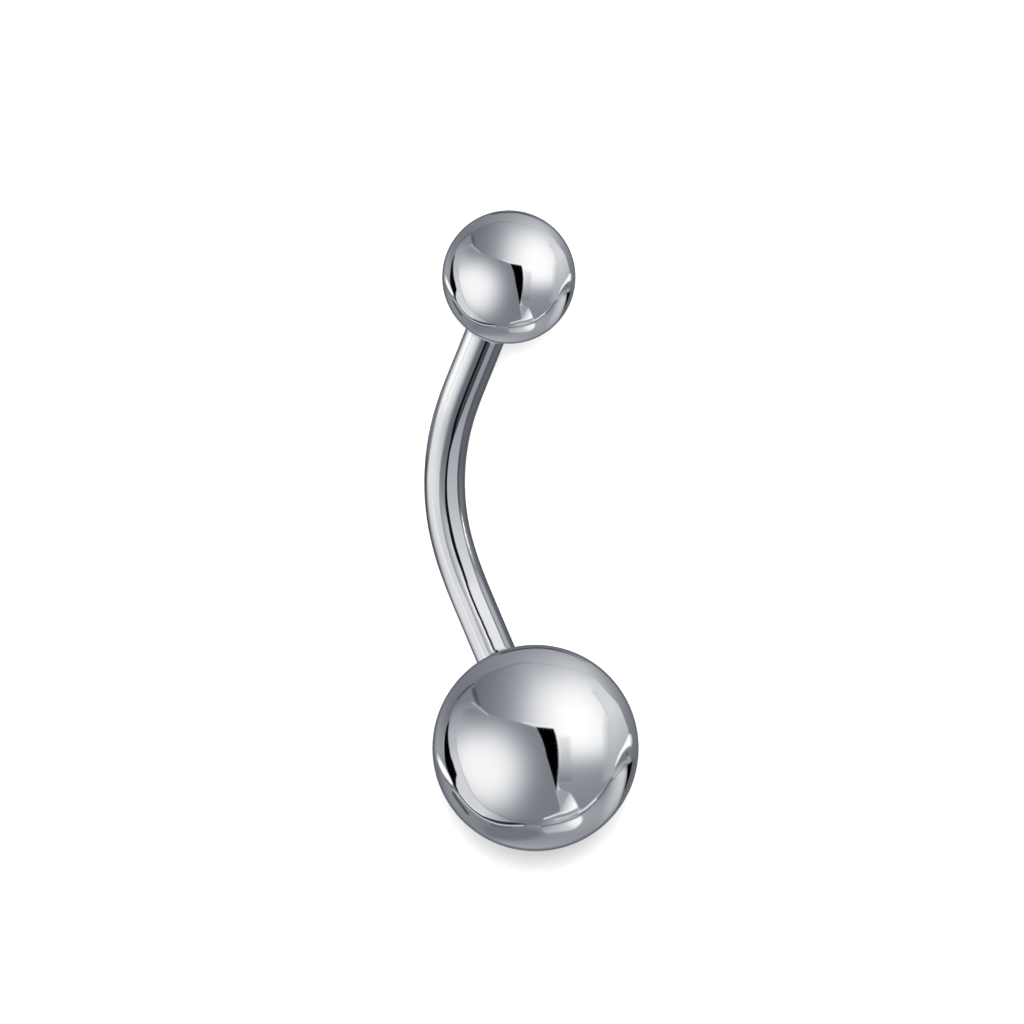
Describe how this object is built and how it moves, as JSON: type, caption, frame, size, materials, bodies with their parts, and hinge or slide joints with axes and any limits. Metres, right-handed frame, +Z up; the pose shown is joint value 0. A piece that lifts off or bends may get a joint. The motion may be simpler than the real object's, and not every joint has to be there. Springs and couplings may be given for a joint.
{
  "type": "navel ring",
  "caption": "Curved steel bar for a navel piercing, with a large ball at one end and a smaller ball that screws off at the other.",
  "frame": {"origin": "middle of the bounding box, at the surface that the ring lies on", "axes": "+X from the large ball to the small ball; +Z up; the belly of the bend leans out towards +Y and touches the surface"},
  "size_m": [0.025, 0.008, 0.008],
  "materials": {
    "polished_steel": "mirror polished surgical steel"
  },
  "bodies": {
    "bar_and_large_ball": {"bar": "polished_steel", "large_ball": "polished_steel"},
    "small_ball": {"small_ball": "polished_steel"}
  },
  "joints": [
    {"name": "small_ball_off", "type": "slide", "parent": "bar_and_large_ball", "child": "small_ball", "axis": [0.8691, -0.4153, 0.2688], "range_m": [0, 0.004]}
  ]
}
